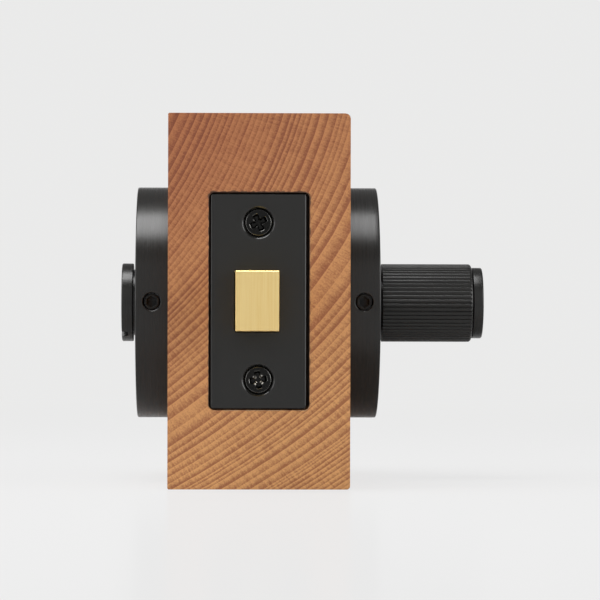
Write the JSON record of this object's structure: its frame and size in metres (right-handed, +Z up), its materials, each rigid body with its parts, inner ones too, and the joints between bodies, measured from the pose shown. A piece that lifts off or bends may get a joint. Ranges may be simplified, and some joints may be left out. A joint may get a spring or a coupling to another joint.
{
  "type": "privacy thumb turn",
  "caption": "Round-rose privacy thumb turn and coin release with a tubular deadbolt, fitted in a sample block of door.",
  "frame": {"origin": "middle of the door block's underside", "axes": "+X through the door's thickness from the coin release towards the thumb turn, +Y from the door's edge into the door, +Z up"},
  "size_m": [0.1016, 0.1124, 0.0995],
  "materials": {
    "door_wood": "bare end grain on the edge, sanded",
    "black": "satin black",
    "brass": "fine brushed",
    "steel": "zinc plated",
    "zinc": "bare zinc casting",
    "nylon": "natural nylon"
  },
  "bodies": {
    "fixed_set": {"door_block": "door_wood", "faceplate": "black", "latch_backing_plate": "steel", "faceplate_screw_upper": "black", "faceplate_screw_lower": "black", "latch_case": "steel", "latch_cover_plate": "steel", "case_rivet_1": "steel", "case_rivet_2": "steel", "case_rivet_3": "steel", "detent_spring": "steel", "turn_rose": "black", "turn_grub_screw": "black", "turn_mount": "zinc", "turn_bush": "nylon", "turn_washer": "steel", "release_rose": "black", "release_grub_screw": "black", "release_mount": "zinc", "release_bush": "nylon", "release_washer": "steel", "through_bolt_upper": "steel", "through_bolt_lower": "steel", "tapped_post_upper": "steel", "tapped_post_lower": "steel"},
    "turn": {"turn_stem": "black", "turn_sleeve": "black", "turn_cap": "black", "turn_clip": "steel", "spindle": "steel", "follower": "steel", "coin_release": "black", "release_clip": "steel"},
    "bolt": {"bolt": "brass", "bolt_tail": "steel", "bolt_pin": "steel"}
  },
  "joints": [
    {"name": "thumb_turn", "type": "hinge", "parent": "fixed_set", "child": "turn", "pos_m": [0, 0.01, 0.04975], "axis": [-1, 0, 0], "range_deg": [0, 90]},
    {"name": "bolt_slide", "type": "slide", "parent": "fixed_set", "child": "bolt", "axis": [0, 1, 0], "range_m": [0, 0.0125]}
  ],
  "couplings": [
    {"joint": "bolt_slide", "follows": "thumb_turn", "m_per_rad": 0.0079577}
  ]
}
